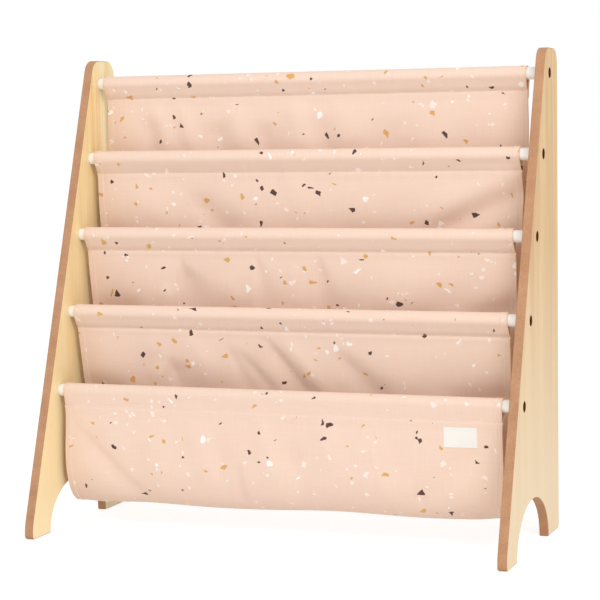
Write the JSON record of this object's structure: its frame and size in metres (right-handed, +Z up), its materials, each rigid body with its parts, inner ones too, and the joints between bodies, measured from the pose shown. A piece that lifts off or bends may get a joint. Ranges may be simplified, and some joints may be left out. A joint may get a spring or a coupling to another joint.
{
  "type": "sling bookshelf",
  "caption": "Low children's bookshelf: tapering side panels with arched feet, rods bolted between them, and a sewn cloth sling that hangs from the rods in open book pockets.",
  "frame": {"origin": "on the floor, in the middle of the shelf's width and depth", "axes": "+X along the rods, towards the right-hand panel; +Y from the low front to the high back; +Z up"},
  "size_m": [0.63, 0.265, 0.61],
  "materials": {
    "veneered_board": "satin",
    "white_paint": "satin",
    "zinc_steel": "zinc plated",
    "dark_bronze": "dark bronze plated",
    "sling_cloth": "plain weave with a printed terrazzo pattern",
    "label_cloth": "woven label, bare"
  },
  "bodies": {
    "root": {"left_side_panel": "veneered_board", "right_side_panel": "veneered_board", "rod_1": "white_paint", "rod_2": "white_paint", "rod_3": "white_paint", "rod_4": "white_paint", "rod_5": "white_paint", "left_insert_1": "zinc_steel", "left_insert_2": "zinc_steel", "left_insert_3": "zinc_steel", "left_insert_4": "zinc_steel", "left_insert_5": "zinc_steel", "right_insert_1": "zinc_steel", "right_insert_2": "zinc_steel", "right_insert_3": "zinc_steel", "right_insert_4": "zinc_steel", "right_insert_5": "zinc_steel", "left_bolt_1": "dark_bronze", "left_bolt_2": "dark_bronze", "left_bolt_3": "dark_bronze", "left_bolt_4": "dark_bronze", "left_bolt_5": "dark_bronze", "right_bolt_1": "dark_bronze", "right_bolt_2": "dark_bronze", "right_bolt_3": "dark_bronze", "right_bolt_4": "dark_bronze", "right_bolt_5": "dark_bronze", "pocket_panel_1": "sling_cloth", "pocket_panel_2": "sling_cloth", "pocket_panel_3": "sling_cloth", "pocket_panel_4": "sling_cloth", "sewn_label": "label_cloth"}
  },
  "joints": []
}
